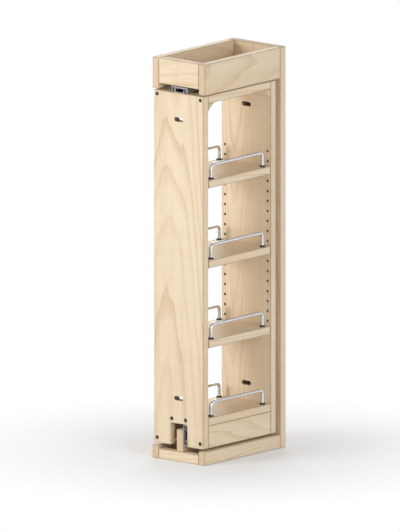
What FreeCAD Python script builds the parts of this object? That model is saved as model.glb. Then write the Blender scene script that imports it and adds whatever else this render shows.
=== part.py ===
import FreeCAD, Part
import os
import re
from math import atan2, hypot, pi

import Sketcher
from FreeCAD import Placement, Rotation, Vector

# Frame of the model: millimetres, +Z up, origin on the floor under the middle of the unit.
# The narrow front faces -Y, the rear board is at +Y, and X runs across the unit.
# The carriage is pulled out along -Y.

SIZES = {
    # whole unit
    "overall_width": 152.4,
    "overall_depth": 282.6,
    "overall_height": 914.4,
    "edge_ease": 0.8,
    # fixed frame
    "rear_board_thick": 19.05,
    "side_board_thick": 18.0,
    "crosspiece_thick": 18.0,
    "top_box_height": 71.0,
    "crosspiece_slide_gap": 2.6,
    "slide_board_thick": 18.0,
    "base_height": 31.0,
    "base_crosspiece_height": 22.8,
    "rail_board_thick": 19.05,
    "rail_board_rise": 11.3,
    "rail_board_setback": 2.5,
    # carriage
    "carriage_side_gap": 4.75,
    "carriage_rear_gap": 9.55,
    "carriage_top_gap": 2.7,
    "carriage_bottom_gap": 5.0,
    "panel_thick": 18.0,
    "top_rail_thick": 18.0,
    "corner_block_depth": 21.0,
    "corner_block_height": 18.0,
    "skirt_thick": 18.0,
    "spacer_height": 44.0,
    "shelf_thick": 18.0,
    "slide_bay_gap": 2.85,
    "notch_width": 50.0,
    "notch_side_gap": 1.5,
    "notch_roof_gap": 0.8,
    "notch_corner": 6.0,
    "slot_length": 27.0,
    "slot_height": 10.0,
    "upper_slot_drop": 60.7,
    "lower_slot_rise": 108.0,
    # adjustable shelves and their pins
    "pin_pitch": 22.8,
    "pin_rows": 19,
    "rows_per_shelf": 8,
    "lowest_pin_rise": 164.4,
    "pin_edge": 9.5,
    "pin_radius": 3.175,
    "pin_fit": 0.05,
    "pin_hole_depth": 10.0,
    "pin_shank": 9.0,
    "pin_peg": 8.0,
    "pin_collar_radius": 4.6,
    "pin_collar_thick": 1.2,
    "pin_tip_ease": 0.6,
    "pin_seat_gap": 0.2,
    "shelf_over_pin": 9.125,
    "shelf_end_gap": 1.6,
    "shelf_notch_gap": 0.6,
    # bent wire rails
    "wire_radius": 3.8,
    "wire_rise": 32.5,
    "wire_bend": 10.0,
    "wire_setback": 19.0,
    "wire_inset": 8.5,
    "wire_tenon": 9.0,
    "wire_fit": 0.05,
    "wire_socket_gap": 0.5,
    "ferrule_radius": 6.4,
    "ferrule_height": 4.0,
    "ferrule_wall": 1.1,
    # ball-bearing slides
    "slide_height": 45.7,
    "slide_thick": 12.7,
    "slide_setback": 3.3,
    "slide_rear_gap": 10.25,
    "sheet_thick": 1.2,
    "flange_reach": 10.8,
    "flange_back": 1.4,
    "middle_waist": 0.8,
    "inner_flange_thick": 1.7,
    "middle_start": 2.0,
    "middle_rear_gap": 12.0,
    "ball_radius": 1.98,
    "ball_clear": 0.05,
    "ball_plane": 7.0,
    "race_depth": 0.5,
    "balls_per_row": 8,
    "ball_pitch": 12.0,
    "cage_thick": 0.5,
    "cage_gap": 0.3,
    "cage_reach": 9.6,
    "cage_length": 105.0,
    "cage_hole_gap": 0.1,
    "bumper_gap": 1.0,
    "bumper_end_gap": 1.0,
    "bumper_height": 28.0,
    "bumper_corner": 3.0,
    "bumper_side_gap": 0.4,
    "fixing_front": 30.0,
    "fixing_middle": 150.0,
    "fixing_rear_margin": 30.0,
    "web_slot_length": 9.0,
    "web_slot_height": 4.4,
    "web_slot_step": 13.0,
    "driver_hole_radius": 5.0,
    # release lever on each slide's inner member
    "lever_pivot": 110.0,
    "lever_thick": 1.8,
    "lever_gap": 0.3,
    "lever_hub_radius": 4.6,
    "lever_arm": 16.0,
    "lever_arm_width": 5.0,
    "lever_tab": 20.0,
    "lever_tab_width": 8.0,
    "rivet_radius": 2.2,
    "rivet_fit": 0.05,
    "rivet_cap_radius": 3.4,
    "rivet_cap_thick": 0.7,
    # screws
    "screw_head": 4.7,
    "screw_shank": 2.4,
    "screw_head_depth": 2.6,
    "screw_length": 38.0,
    "screw_tip": 4.6,
    "slide_screw_head": 3.1,
    "slide_screw_shank": 1.9,
    "slide_screw_length": 13.0,
    "slide_screw_tip": 2.5,
    "screw_fit": 0.03,
    "recess_arm": 1.9,
    "recess_half_width": 0.5,
    "recess_depth": 0.9,
    "top_screw_edge": 8.5,
    "shelf_screw_spacing": 40.0,
    "skirt_screw_rise": 12.0,
    "slide_board_screw_spacing": 60.0,
    "rail_board_screw_low": 18.0,
    "rail_board_screw_high": 54.0,
}

# Places worked out from the sizes above, as formulas in their names.
HALF_WIDTH = "(overall_width / 2)"
FRONT = "(-overall_depth / 2)"
REAR = "(overall_depth / 2)"
REAR_BOARD_FACE = f"({REAR} - rear_board_thick)"
BOARD_INNER = f"({HALF_WIDTH} - side_board_thick)"
CROSSPIECE_BACK = f"({FRONT} + crosspiece_thick)"
TOP_BOX_BOTTOM = "(overall_height - top_box_height)"

CARRIAGE_HALF = f"({HALF_WIDTH} - carriage_side_gap)"
CARRIAGE_REAR = f"({REAR_BOARD_FACE} - carriage_rear_gap)"
CARRIAGE_TOP = f"({TOP_BOX_BOTTOM} - carriage_top_gap)"
CARRIAGE_BOTTOM = "(base_height + carriage_bottom_gap)"
BAY_FRONT = f"({FRONT} + panel_thick)"
BAY_REAR = f"({CARRIAGE_REAR} - panel_thick)"
TOP_RAIL_BOTTOM = f"({CARRIAGE_TOP} - top_rail_thick)"
BOTTOM_SHELF_UNDERSIDE = f"({CARRIAGE_BOTTOM} + slide_height + 2 * slide_bay_gap)"
BOTTOM_SHELF_LEVEL = f"({BOTTOM_SHELF_UNDERSIDE} + shelf_thick)"
SKIRT_INNER = f"({CARRIAGE_HALF} - skirt_thick)"
NOTCH_TOP = f"({BOTTOM_SHELF_UNDERSIDE} - notch_roof_gap)"
UPPER_SLOT_LEVEL = f"({CARRIAGE_TOP} - upper_slot_drop)"
LOWER_SLOT_LEVEL = f"({CARRIAGE_BOTTOM} + lower_slot_rise)"
LOWEST_PIN_LEVEL = f"({BOTTOM_SHELF_LEVEL} + lowest_pin_rise)"
PIN_COLUMN = f"({CARRIAGE_HALF} - pin_edge)"
WIRE_LINE = f"({CARRIAGE_HALF} - wire_inset)"
WIRE_FRONT = f"({BAY_FRONT} + wire_setback)"
WIRE_REAR = f"({BAY_REAR} - wire_setback)"

# The bottom slide stands at the notch's right edge, and a spacer fills the room beside it.
TOP_SLIDE_PLANE = f"({CARRIAGE_TOP} + slide_thick)"
BOTTOM_SLIDE_MOVING_FACE = "(notch_width / 2 - notch_side_gap)"
BOTTOM_SLIDE_PLANE = f"({BOTTOM_SLIDE_MOVING_FACE} - slide_thick)"
BOTTOM_SLIDE_LEVEL = f"({CARRIAGE_BOTTOM} + slide_bay_gap + slide_height / 2)"
RAIL_BOARD_TOP = f"({BOTTOM_SLIDE_LEVEL} + rail_board_rise)"
SLIDE_FRONT = f"({FRONT} + slide_setback)"
SLIDE_LENGTH = f"({REAR_BOARD_FACE} - slide_rear_gap - {SLIDE_FRONT})"
MIDDLE_LENGTH = f"({SLIDE_LENGTH} - middle_start - middle_rear_gap)"
FIXINGS = ("fixing_front", "fixing_middle", f"({SLIDE_LENGTH} - fixing_rear_margin)")

# Slide section: x is the distance from the fixed member's back, y the distance from the mid-line.
RACE_RADIUS = "(ball_radius + ball_clear)"
OUTER_ROW = f"(slide_height / 2 - flange_back - {RACE_RADIUS})"
INNER_ROW = f"({OUTER_ROW} - 2 * {RACE_RADIUS} - middle_waist)"
RACE_HALF_WIDTH = f"sqrt(race_depth * (2 * {RACE_RADIUS} - race_depth))"
RACE_IN = f"(ball_plane - {RACE_HALF_WIDTH})"
RACE_OUT = f"(ball_plane + {RACE_HALF_WIDTH})"
OUTER_CAGE_BACK = "(sheet_thick + cage_gap)"
MIDDLE_BACK = f"({OUTER_CAGE_BACK} + cage_thick + cage_gap)"
INNER_CAGE_BACK = f"({MIDDLE_BACK} + sheet_thick + cage_gap)"
INNER_TIP = f"({INNER_CAGE_BACK} + cage_thick + cage_gap)"
INNER_WEB = "(slide_thick - sheet_thick)"
LEVER_FACE = f"({INNER_WEB} - lever_gap - lever_thick)"

DOCUMENT = FreeCAD.newDocument("filler_pullout")
SHEET = DOCUMENT.addObject("Spreadsheet::Sheet", "dims")
NODES = []

# Which way a fastener's tip points, as the turn of one whose tip points down.
HEADINGS = {
    "down": Rotation(),
    "up": Rotation(Vector(1, 0, 0), 180),
    "rearward": Rotation(Vector(1, 0, 0), 90),
    "forward": Rotation(Vector(1, 0, 0), -90),
    "left": Rotation(Vector(0, 1, 0), 90),
    "right": Rotation(Vector(0, 1, 0), -90),
}
LAID_FLAT = Rotation(Vector(0, 1, 0), 90)
UPRIGHT = Rotation()


# Sizes

def fill_sheet():
    for row, (name, size) in enumerate(SIZES.items(), start=1):
        SHEET.set(f"A{row}", name)
        SHEET.set(f"B{row}", str(size))
        SHEET.setAlias(f"B{row}", name)
    DOCUMENT.recompute()


def sheet_formula(formula):
    """The formula with each size's name written as its cell in the table of sizes."""
    def cell(match):
        word = match.group()
        return f"dims.{word}" if word in SIZES else word
    return re.sub(r"[a-z_]+", cell, formula)


def number(formula):
    result = SHEET.evalExpression(sheet_formula(formula))
    return float(getattr(result, "Value", result))


def bind(thing, name, formula):
    thing.setExpression(name, sheet_formula(formula))


def place(thing, spot, turn=UPRIGHT):
    thing.Placement = Placement(Vector(), turn)
    for axis, formula in zip("xyz", spot):
        bind(thing, f"Placement.Base.{axis}", formula)
    return thing


def node(thing, label):
    thing.Label = label
    NODES.append(thing)
    return thing


# Sketches

def sketch_on(body, role, offset="0"):
    """A sketch on one of the body's own origin planes, moved along that plane's normal."""
    sketch = body.newObject("Sketcher::SketchObject", "sketch")
    plane = next(item for item in body.Origin.OriginFeatures if item.Role == role)
    sketch.AttachmentSupport = [(plane, "")]
    sketch.MapMode = "FlatFace"
    bind(sketch, "AttachmentOffset.Base.z", offset)
    return sketch


def hold(sketch, kind, edge, point, formula):
    index = sketch.addConstraint(Sketcher.Constraint(kind, -1, 1, edge, point, number(formula)))
    bind(sketch, f"Constraints[{index}]", formula)


def arc_edge(start, end, centre, towards):
    """The arc from start to end about centre that passes on the given side, and if it runs backwards."""
    radius = hypot(start.x - centre.x, start.y - centre.y)
    begin = atan2(start.y - centre.y, start.x - centre.x)
    finish = atan2(end.y - centre.y, end.x - centre.x)
    middle = atan2(towards[1], towards[0])
    backwards = (middle - begin) % (2 * pi) > (finish - begin) % (2 * pi)
    if backwards:
        begin, finish = finish, begin
    if finish < begin:
        finish += 2 * pi
    return Part.ArcOfCircle(Part.Circle(centre, Vector(0, 0, 1), radius), begin, finish), backwards


def outline(sketch, corners, bends=None, closed=True):
    """Straight edges from corner to corner. A bend is (centre x, centre y, side, held axis)."""
    bends = bends or {}
    spots = [Vector(number(across), number(along), 0) for across, along in corners]
    count = len(corners) if closed else len(corners) - 1
    first_edge = sketch.GeometryCount
    starts, ends = [], []
    for index in range(count):
        start, end = spots[index], spots[(index + 1) % len(corners)]
        backwards = False
        edge = Part.LineSegment(start, end)
        if index in bends:
            across, along, side, _ = bends[index]
            edge, backwards = arc_edge(start, end, Vector(number(across), number(along), 0), side)
        sketch.addGeometry(edge, False)
        starts.append((first_edge + index, 2 if backwards else 1))
        ends.append((first_edge + index, 1 if backwards else 2))
    for index in range(count if closed else count - 1):
        following = starts[(index + 1) % count]
        sketch.addConstraint(Sketcher.Constraint("Coincident", *ends[index], *following))
    held_points = starts if closed else starts + [ends[-1]]
    for (edge, point), (across, along) in zip(held_points, corners):
        hold(sketch, "DistanceX", edge, point, across)
        hold(sketch, "DistanceY", edge, point, along)
    for index, (across, along, _, held) in bends.items():
        centre = {"DistanceX": across, "DistanceY": along}[held]
        hold(sketch, held, first_edge + index, 3, centre)


def circle(sketch, across, along, radius):
    edge = sketch.addGeometry(Part.Circle(Vector(number(across), number(along), 0), Vector(0, 0, 1),
                                          number(radius)), False)
    hold(sketch, "DistanceX", edge, 3, across)
    hold(sketch, "DistanceY", edge, 3, along)
    index = sketch.addConstraint(Sketcher.Constraint("Radius", edge, number(radius)))
    bind(sketch, f"Constraints[{index}]", radius)


def rectangle(low, high):
    (left, bottom), (right, top) = low, high
    return [(left, bottom), (right, bottom), (right, top), (left, top)]


# Bodies and solids

def new_body(name):
    return DOCUMENT.addObject("PartDesign::Body", name)


def pad(body, sketch, length):
    feature = body.newObject("PartDesign::Pad", "pad")
    feature.Profile = sketch
    bind(feature, "Length", length)
    return feature


def pocket(body, sketch, depth, backwards=False):
    feature = body.newObject("PartDesign::Pocket", "pocket")
    feature.Profile = sketch
    feature.Reversed = backwards
    bind(feature, "Length", depth)
    return feature


def revolve(body, sketch):
    feature = body.newObject("PartDesign::Revolution", "turn")
    feature.Profile = sketch
    feature.ReferenceAxis = (sketch, ["V_Axis"])
    feature.Angle = 360
    return feature


def ease_edges(body, feature):
    """A small chamfer along every edge of a board."""
    DOCUMENT.recompute()
    chamfer = body.newObject("PartDesign::Chamfer", "eased_edges")
    chamfer.Base = (feature, [""])
    chamfer.UseAllEdges = True
    bind(chamfer, "Size", "edge_ease")
    return chamfer


def board(name, low, high):
    """A rectangular board between two corners, with eased edges."""
    body = new_body(name)
    sketch = sketch_on(body, "XY_Plane", low[2])
    outline(sketch, rectangle(low[:2], high[:2]))
    ease_edges(body, pad(body, sketch, f"({high[2]}) - ({low[2]})"))
    return body


def cylinder(name, radius, height, spot, turn=UPRIGHT):
    solid = DOCUMENT.addObject("Part::Cylinder", name)
    bind(solid, "Radius", radius)
    bind(solid, "Height", height)
    return place(solid, spot, turn)


def box(name, low, high):
    solid = DOCUMENT.addObject("Part::Box", name)
    for side, start, end in zip(("Length", "Width", "Height"), low, high):
        bind(solid, side, f"({end}) - ({start})")
    return place(solid, low)


def copy_of(master, spot, turn=UPRIGHT):
    link = DOCUMENT.addObject("App::Link", f"{master.Name}_copy")
    link.LinkedObject = master
    return place(link, spot, turn)


def gathered(name, things):
    group = DOCUMENT.addObject("Part::Compound", name)
    group.Links = things
    return group


def cut(name, base, tools):
    result = DOCUMENT.addObject("Part::Cut", name)
    result.Base = base
    result.Tool = gathered(f"{name}_tools", tools)
    return result


# Fasteners

def screw_profile(name, sizes, extra):
    """A countersunk screw with its head's face at the origin and its tip downwards, or its hole."""
    head, shank, depth, length, tip = sizes
    body = new_body(name)
    sketch = sketch_on(body, "XZ_Plane")
    corners = [("0", "0"), (f"{head} + {extra}", "0"), (f"{shank} + {extra}", f"-({depth})"),
               (f"{shank} + {extra}", f"{tip} - {length}"), ("0", f"-({length} + {extra})")]
    outline(sketch, corners)
    revolve(body, sketch)
    return body


def cross_recess(body):
    sketch = sketch_on(body, "XY_Plane")
    arm, half = "recess_arm", "recess_half_width"
    corners = [(f"-{half}", f"-{arm}"), (half, f"-{arm}"), (half, f"-{half}"), (arm, f"-{half}"),
               (arm, half), (half, half), (half, arm), (f"-{half}", arm), (f"-{half}", half),
               (f"-{arm}", half), (f"-{arm}", f"-{half}"), (f"-{half}", f"-{half}")]
    outline(sketch, corners)
    pocket(body, sketch, "recess_depth")


def screw_kind(name, sizes):
    """The screw and the hole it makes, both from the same sizes."""
    screw = screw_profile(name, sizes, "0")
    cross_recess(screw)
    return screw, screw_profile(f"{name}_hole", sizes, "screw_fit")


def screws(label, kind, spots, heading):
    """A group of screws as one sub-part, and the holes for the pieces they pass through."""
    screw, hole = kind
    turn = HEADINGS[heading]
    node(gathered(label, [copy_of(screw, spot, turn) for spot in spots]), label)
    return [copy_of(hole, spot, turn) for spot in spots]


# Fixed frame

def frame_screw_spots():
    side_line = f"({BOARD_INNER} + side_board_thick / 2)"
    rail_line = f"({BOTTOM_SLIDE_PLANE} - rail_board_thick / 2)"
    slide_board_line = f"({TOP_SLIDE_PLANE} + slide_board_thick / 2)"
    spots = {"top": [], "slide_board": [], "base": [], "rail": []}
    for side in ("-", ""):
        for share in ("0.25", "0.75"):
            spots["top"].append((f"{side}{side_line}", REAR, f"{TOP_BOX_BOTTOM} + top_box_height * {share}"))
        spots["slide_board"].append((f"{side}slide_board_screw_spacing / 2", REAR, slide_board_line))
        spots["base"].append((f"{side}{side_line}", REAR, "base_height / 2"))
    for level in ("rail_board_screw_low", "rail_board_screw_high"):
        spots["rail"].append((rail_line, REAR, level))
    return spots


def rail_board_blank():
    """The rail stands behind the base crosspiece and reaches forward over it."""
    body = new_body("rail_board_blank")
    sketch = sketch_on(body, "YZ_Plane", f"{BOTTOM_SLIDE_PLANE} - rail_board_thick")
    tip = f"{FRONT} + rail_board_setback"
    corners = [(CROSSPIECE_BACK, "0"), (REAR_BOARD_FACE, "0"), (REAR_BOARD_FACE, RAIL_BOARD_TOP),
               (tip, RAIL_BOARD_TOP), (tip, "base_crosspiece_height"),
               (CROSSPIECE_BACK, "base_crosspiece_height")]
    outline(sketch, corners)
    ease_edges(body, pad(body, sketch, "rail_board_thick"))
    return body


def build_frame(screw, slide_holes):
    spots = frame_screw_spots()
    holes = screws("frame_screws", screw, sum(spots.values(), []), "forward")
    rear = board("rear_blank", (f"-{HALF_WIDTH}", REAR_BOARD_FACE, "0"), (HALF_WIDTH, REAR, "overall_height"))
    node(cut("rear_board", rear, holes), "rear_board")
    for name, side in (("left", "-"), ("right", "")):
        inner, outer = f"{side}{BOARD_INNER}", f"{side}{HALF_WIDTH}"
        low, high = (outer, inner) if side else (inner, outer)
        top = board("top_blank", (low, FRONT, TOP_BOX_BOTTOM), (high, REAR_BOARD_FACE, "overall_height"))
        node(cut("top_side_board", top, holes), f"top_side_board_{name}")
        base = board("base_blank", (low, FRONT, "0"), (high, REAR_BOARD_FACE, "base_height"))
        node(cut("base_side_board", base, holes), f"base_side_board_{name}")
    node(board("top_crosspiece", (f"-{BOARD_INNER}", FRONT, f"{TOP_SLIDE_PLANE} + crosspiece_slide_gap"),
               (BOARD_INNER, CROSSPIECE_BACK, "overall_height")), "top_front_crosspiece")
    node(board("base_crosspiece", (f"-{BOARD_INNER}", FRONT, "0"),
               (BOARD_INNER, CROSSPIECE_BACK, "base_crosspiece_height")), "base_front_crosspiece")
    slide_board = board("slide_board_blank", (f"-{BOARD_INNER}", CROSSPIECE_BACK, TOP_SLIDE_PLANE),
                        (BOARD_INNER, REAR_BOARD_FACE, f"{TOP_SLIDE_PLANE} + slide_board_thick"))
    node(cut("top_slide_board", slide_board, holes + slide_holes["top_fixed"]), "top_slide_board")
    rail = cut("bottom_slide_rail", rail_board_blank(), holes + slide_holes["bottom_fixed"])
    node(rail, "bottom_slide_rail")


# Slides

def mirrored(corners, bends):
    """Completes a section drawn below its mid-line with the same corners above it."""
    count = len(corners)
    upper = [(across, along.replace("-", "", 1)) for across, along in reversed(corners)]
    all_bends = dict(bends)
    for index, (across, along, side, held) in bends.items():
        all_bends[2 * count - 2 - index] = (across, along.replace("-", "", 1), (side[0], -side[1]), held)
    return corners + upper, all_bends


def slide_section(kind):
    """The lower half of a member's section. Each race is a shallow round groove for the balls."""
    outer_row, inner_row = f"-{OUTER_ROW}", f"-{INNER_ROW}"
    outward, inward = (0, -1), (0, 1)
    if kind == "outer":
        back, face = "-(slide_height / 2)", f"-({OUTER_ROW} + {RACE_RADIUS} - race_depth)"
        corners = [("0", back), ("flange_reach", back), ("flange_reach", face), (RACE_OUT, face),
                   (RACE_IN, face), ("sheet_thick", face)]
        return corners, {3: ("ball_plane", outer_row, outward, "DistanceY")}
    if kind == "middle":
        outside = f"-({OUTER_ROW} - {RACE_RADIUS} + race_depth)"
        inside = f"-({INNER_ROW} + {RACE_RADIUS} - race_depth)"
        corners = [(MIDDLE_BACK, outside), (RACE_IN, outside), (RACE_OUT, outside), ("flange_reach", outside),
                   ("flange_reach", inside), (RACE_OUT, inside), (RACE_IN, inside),
                   (f"{MIDDLE_BACK} + sheet_thick", inside)]
        return corners, {1: ("ball_plane", outer_row, inward, "DistanceY"),
                         5: ("ball_plane", inner_row, outward, "DistanceY")}
    outside = f"-({INNER_ROW} - {RACE_RADIUS} + race_depth)"
    inside = f"-({INNER_ROW} - {RACE_RADIUS} + race_depth - inner_flange_thick)"
    corners = [("slide_thick", outside), (RACE_OUT, outside), (RACE_IN, outside), (INNER_TIP, outside),
               (INNER_TIP, inside), (INNER_WEB, inside)]
    return corners, {1: ("ball_plane", inner_row, inward, "DistanceY")}


def slot_outline(sketch, across, level, length, height):
    reach, half = f"({length} / 2 - {height} / 2)", f"{height} / 2"
    left, right = f"({across} - {reach})", f"({across} + {reach})"
    corners = [(left, f"{level} - {half}"), (right, f"{level} - {half}"),
               (right, f"{level} + {half}"), (left, f"{level} + {half}")]
    outline(sketch, corners, {1: (right, level, (1, 0), "DistanceX"),
                              3: (left, level, (-1, 0), "DistanceX")})


def slide_member(name, kind, start, length):
    """A rolled channel along +Y, its section drawn in X and Z, with its web pierced.

    The outer and inner webs have a slot behind each screw. The middle web has holes for a driver."""
    body = new_body(name)
    sketch = sketch_on(body, "XZ_Plane", f"-({start} + {length})")
    outline(sketch, *mirrored(*slide_section(kind)))
    pad(body, sketch, length)
    web = {"outer": "0", "middle": MIDDLE_BACK, "inner": INNER_WEB}[kind]
    piercings = sketch_on(body, "YZ_Plane", web)
    for along in FIXINGS:
        if kind == "middle":
            circle(piercings, along, "0", "driver_hole_radius")
        else:
            slot_outline(piercings, f"({along} + web_slot_step)", "0", "web_slot_length", "web_slot_height")
    pocket(body, piercings, "sheet_thick", backwards=True)
    return body


def cage(name, back, row, start):
    """A thin channel with a hole for each ball in both of its flanges."""
    body = new_body(f"{name}_blank")
    sketch = sketch_on(body, "XZ_Plane", f"-({start} + cage_length)")
    outside, inside = f"-({row} + cage_thick / 2)", f"-({row} - cage_thick / 2)"
    half = [(back, outside), ("cage_reach", outside), ("cage_reach", inside),
            (f"{back} + cage_thick", inside)]
    outline(sketch, *mirrored(half, {}))
    pad(body, sketch, "cage_length")
    reach = f"({row} + ball_radius)"
    holes = [cylinder("ball_hole", "ball_radius + cage_hole_gap", f"2 * {reach}",
                      ("ball_plane", along, f"-{reach}")) for along in ball_places(start)]
    return cut(name, body, holes)


def ball_places(start):
    count = round(number("balls_per_row"))
    first = f"({start} + cage_length / 2 - ball_pitch * (balls_per_row - 1) / 2)"
    return [f"{first} + ball_pitch * {index}" for index in range(count)]


def balls(name, row, start):
    ball = DOCUMENT.addObject("Part::Sphere", f"{name}_ball")
    bind(ball, "Radius", "ball_radius")
    return gathered(name, [copy_of(ball, ("ball_plane", along, f"{side}{row}"))
                           for along in ball_places(start) for side in ("-", "")])


def bumper(name):
    """A moulded block on the outer member's web that the middle member closes against."""
    body = new_body(name)
    sketch = sketch_on(body, "YZ_Plane", "sheet_thick")
    start, end = f"(middle_start + {MIDDLE_LENGTH} + bumper_gap)", f"({SLIDE_LENGTH} - bumper_end_gap)"
    half, shoulder = "(bumper_height / 2)", "(bumper_height / 2 - bumper_corner)"
    outline(sketch, [(start, f"-{shoulder}"), (f"{start} + bumper_corner", f"-{half}"), (end, f"-{half}"),
                     (end, half), (f"{start} + bumper_corner", half), (start, shoulder)])
    pad(body, sketch, f"{INNER_TIP} - bumper_side_gap - sheet_thick")
    return body


def lever(name):
    """A flat plastic lever that turns on a rivet, with a hooked arm and a finger tab."""
    body = new_body(name)
    sketch = sketch_on(body, "YZ_Plane", LEVER_FACE)
    arm, tab = "lever_arm_width / 2", "lever_tab_width / 2"
    root = "lever_hub_radius"
    corners = [(f"lever_pivot - {root}", f"-{arm}"), (f"lever_pivot - {root} / 2", f"-{root}"),
               (f"lever_pivot + {root} / 2", f"-{root}"), (f"lever_pivot + {root}", f"-{arm}"),
               ("lever_pivot + lever_arm", f"-{arm}"), ("lever_pivot + lever_arm", f"{tab}"),
               (f"lever_pivot + lever_arm - {arm}", f"{tab}"), (f"lever_pivot + lever_arm - {arm}", arm),
               (f"lever_pivot + {root}", arm), (f"lever_pivot + {root} / 2", root),
               (f"lever_pivot - {root} / 2", root), (f"lever_pivot - {root}", arm),
               ("lever_pivot - lever_tab", tab), ("lever_pivot - lever_tab", f"-{tab}")]
    outline(sketch, corners)
    circle(sketch, "lever_pivot", "0", "rivet_radius + rivet_fit")
    pad(body, sketch, "lever_thick")
    return body


def inner_with_rivet(name):
    """The moving member with the lever's rivet on its web."""
    channel = slide_member(f"{name}_channel", "inner", "0", SLIDE_LENGTH)
    cap_face = f"{LEVER_FACE} - lever_gap - rivet_cap_thick"
    spot = (cap_face, "lever_pivot", "0")
    stem = cylinder("rivet_stem", "rivet_radius", f"{INNER_WEB} - ({cap_face})", spot, LAID_FLAT)
    cap = cylinder("rivet_cap", "rivet_cap_radius", "rivet_cap_thick", spot, LAID_FLAT)
    whole = DOCUMENT.addObject("Part::MultiFuse", name)
    whole.Shapes = [channel, stem, cap]
    return whole


def build_slide(prefix, spot, turn, headings, across_spot, screw):
    """One slide in its own frame, placed on its plane. Gives its screws' holes and its bumper."""
    fixed_spots = [across_spot("sheet_thick", along) for along in FIXINGS]
    moving_spots = [across_spot(INNER_WEB, along) for along in FIXINGS]
    fixed_holes = screws(f"{prefix}_slide_frame_screws", screw, fixed_spots, headings[0])
    moving_holes = screws(f"{prefix}_slide_carriage_screws", screw, moving_spots, headings[1])
    outer_cage_start = f"((middle_start + {MIDDLE_LENGTH} - cage_length) / 2)"
    inner_cage_start = f"((middle_start + {SLIDE_LENGTH} - cage_length) / 2)"
    pieces = {
        "slide_outer": slide_member(f"{prefix}_outer_blank", "outer", "0", SLIDE_LENGTH),
        "slide_middle": slide_member(f"{prefix}_middle_blank", "middle", "middle_start", MIDDLE_LENGTH),
        "slide_inner": inner_with_rivet(f"{prefix}_inner_blank"),
        "outer_cage": cage(f"{prefix}_outer_cage_blank", OUTER_CAGE_BACK, OUTER_ROW, outer_cage_start),
        "inner_cage": cage(f"{prefix}_inner_cage_blank", INNER_CAGE_BACK, INNER_ROW, inner_cage_start),
        "outer_balls": balls(f"{prefix}_outer_balls_blank", OUTER_ROW, outer_cage_start),
        "inner_balls": balls(f"{prefix}_inner_balls_blank", INNER_ROW, inner_cage_start),
        "release_lever": lever(f"{prefix}_lever_blank"),
    }
    stop = place(bumper(f"{prefix}_bumper"), spot, turn)
    for name, piece in pieces.items():
        placed = place(piece, spot, turn)
        if name == "slide_outer":
            placed = cut(f"{prefix}_outer", piece, fixed_holes)
        if name == "slide_inner":
            placed = cut(f"{prefix}_inner", piece, moving_holes)
        node(placed, f"{prefix}_{name}")
    return fixed_holes, moving_holes, stop


def build_slides(screw):
    def top_spot(depth, along):
        return "0", f"{SLIDE_FRONT} + {along}", f"{TOP_SLIDE_PLANE} - {depth}"

    def bottom_spot(depth, along):
        return f"{BOTTOM_SLIDE_PLANE} + {depth}", f"{SLIDE_FRONT} + {along}", BOTTOM_SLIDE_LEVEL

    top = build_slide("top", ("0", SLIDE_FRONT, TOP_SLIDE_PLANE), LAID_FLAT, ("up", "down"), top_spot, screw)
    bottom = build_slide("bottom", (BOTTOM_SLIDE_PLANE, SLIDE_FRONT, BOTTOM_SLIDE_LEVEL), UPRIGHT,
                         ("left", "right"), bottom_spot, screw)
    node(gathered("bumper_pair", [top[2], bottom[2]]), "slide_bumpers")
    return {"top_fixed": top[0], "top_moving": top[1], "bottom_fixed": bottom[0], "bottom_moving": bottom[1]}


# Carriage

def panel_blank(name, inner_face, outward):
    """A tall end panel with an arched notch at its foot, two slots and two columns of pin holes."""
    body = new_body(name)
    half, top, corner = "notch_width / 2", NOTCH_TOP, "notch_corner"
    back = inner_face if outward < 0 else f"({inner_face} + panel_thick)"
    sketch = sketch_on(body, "XZ_Plane", f"-{back}")
    corners = [(f"-{CARRIAGE_HALF}", CARRIAGE_BOTTOM), (f"-{half}", CARRIAGE_BOTTOM),
               (f"-{half}", f"{top} - {corner}"), (f"{corner} - {half}", top),
               (f"{half} - {corner}", top), (half, f"{top} - {corner}"),
               (half, CARRIAGE_BOTTOM), (CARRIAGE_HALF, CARRIAGE_BOTTOM),
               (CARRIAGE_HALF, CARRIAGE_TOP), (f"-{CARRIAGE_HALF}", CARRIAGE_TOP)]
    outline(sketch, corners, {2: (f"{corner} - {half}", f"{top} - {corner}", (-1, 1), "DistanceX"),
                              4: (f"{half} - {corner}", f"{top} - {corner}", (1, 1), "DistanceX")})
    ease_edges(body, pad(body, sketch, "panel_thick"))
    slots = sketch_on(body, "XZ_Plane", f"-{back}")
    for level in (UPPER_SLOT_LEVEL, LOWER_SLOT_LEVEL):
        slot_outline(slots, "0", level, "slot_length", "slot_height")
    pocket(body, slots, "panel_thick", backwards=True)
    holes = sketch_on(body, "XZ_Plane", f"-{inner_face}")
    for side in ("-", ""):
        circle(holes, f"{side}{PIN_COLUMN}", LOWEST_PIN_LEVEL, "pin_radius + pin_fit")
    DOCUMENT.recompute()
    row = pocket(body, holes, "pin_hole_depth", backwards=outward < 0)
    DOCUMENT.recompute()
    pattern = body.newObject("PartDesign::LinearPattern", "pin_columns")
    pattern.Originals = [row]
    pattern.Direction = (holes, ["V_Axis"])
    bind(pattern, "Length", "pin_pitch * (pin_rows - 1)")
    bind(pattern, "Occurrences", "pin_rows")
    body.Tip = pattern
    return body


def panel_screw_spots(face):
    rail_level = f"{CARRIAGE_TOP} - top_rail_thick / 2"
    shelf_level = f"{BOTTOM_SHELF_LEVEL} - shelf_thick / 2"
    skirt_level = f"{CARRIAGE_BOTTOM} + skirt_screw_rise"
    spots = []
    for side in ("-", ""):
        spots.append((f"{side}({CARRIAGE_HALF} - top_screw_edge)", face, rail_level))
        spots.append((f"{side}shelf_screw_spacing / 2", face, shelf_level))
        spots.append((f"{side}({CARRIAGE_HALF} - skirt_thick / 2)", face, skirt_level))
    return spots


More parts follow.
